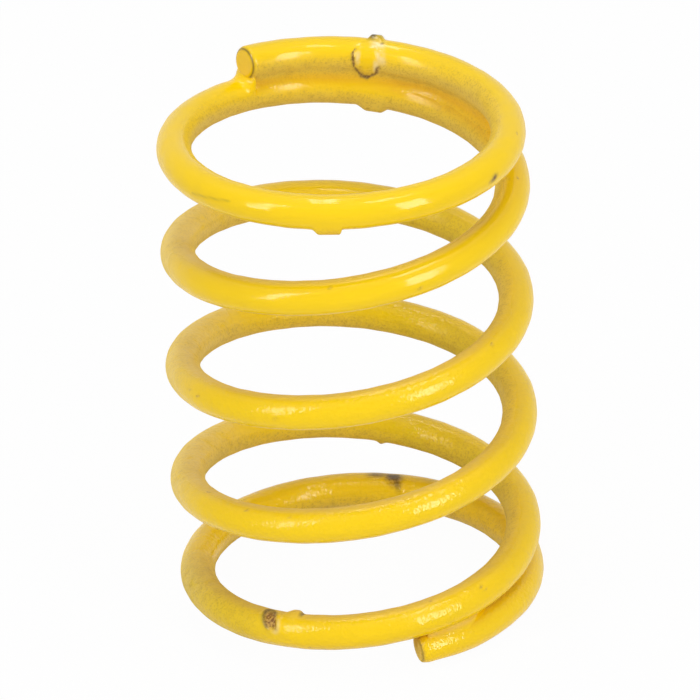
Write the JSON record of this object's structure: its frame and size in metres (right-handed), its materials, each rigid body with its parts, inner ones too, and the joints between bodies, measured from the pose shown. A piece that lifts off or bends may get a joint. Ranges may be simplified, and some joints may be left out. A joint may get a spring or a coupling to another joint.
{
  "type": "brake shoe spring",
  "caption": "Small compression coil spring of round wire with closed, unground ends and yellow paint; holds a drum brake shoe against its backing plate.",
  "frame": {"origin": "on the coil's axis, level with the lowest point of the lower tip", "axes": "+Z along the coil's axis towards the upper end, +X to the right of the picture's view"},
  "size_m": [0.0213, 0.0212, 0.0317],
  "materials": {
    "yellow_paint": "gloss yellow paint over spring steel, thin and dusty on the undersides"
  },
  "bodies": {
    "root": {"spring": "yellow_paint"}
  },
  "joints": []
}
